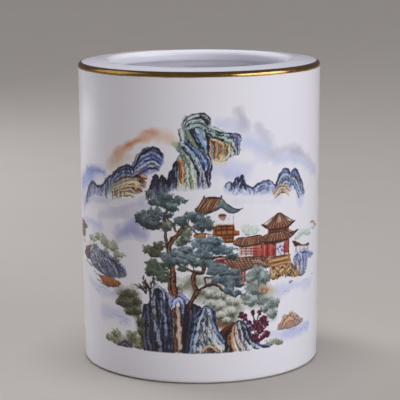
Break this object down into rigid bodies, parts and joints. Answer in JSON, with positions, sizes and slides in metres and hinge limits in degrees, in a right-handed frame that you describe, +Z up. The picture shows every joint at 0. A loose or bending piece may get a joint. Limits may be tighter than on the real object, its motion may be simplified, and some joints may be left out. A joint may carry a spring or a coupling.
{
  "type": "brush pot",
  "caption": "Straight round porcelain brush holder with a flat turned-in shoulder, gilt rim line and enamel landscape; stands on a foot ring and holds brushes upright.",
  "frame": {"origin": "centre of the foot, on the surface the pot stands on", "axes": "+Z up along the pot's axis, -Y towards the middle of the painted landscape"},
  "size_m": [0.1002, 0.1002, 0.1253],
  "materials": {
    "biscuit": "matt bare porcelain",
    "white_glaze": "glossy white glaze",
    "gilding": "burnished gilding",
    "blue_green_enamel": "glossy overglaze enamel",
    "pine_enamel": "glossy overglaze enamel",
    "iron_red_enamel": "glossy overglaze enamel",
    "rose_enamel": "glossy overglaze enamel",
    "wash_enamel": "thin glossy enamel wash"
  },
  "bodies": {
    "root": {"porcelain_body": "biscuit", "outer_glaze": "white_glaze", "inner_glaze": "white_glaze", "base_glaze": "white_glaze", "gilt_rim_band": "gilding", "enamel_peak": "blue_green_enamel", "enamel_left_ridge": "blue_green_enamel", "enamel_right_ridge": "blue_green_enamel", "enamel_sunrise_cloud": "wash_enamel", "enamel_left_mist": "wash_enamel", "enamel_right_mist": "wash_enamel", "enamel_pavilions": "iron_red_enamel", "enamel_pines": "pine_enamel", "enamel_cliff": "blue_green_enamel", "enamel_plum_bush": "rose_enamel", "enamel_bank_shrubs": "pine_enamel", "enamel_left_islet": "blue_green_enamel", "enamel_right_rocks": "blue_green_enamel", "enamel_right_islet": "wash_enamel", "enamel_water": "wash_enamel"}
  },
  "joints": []
}
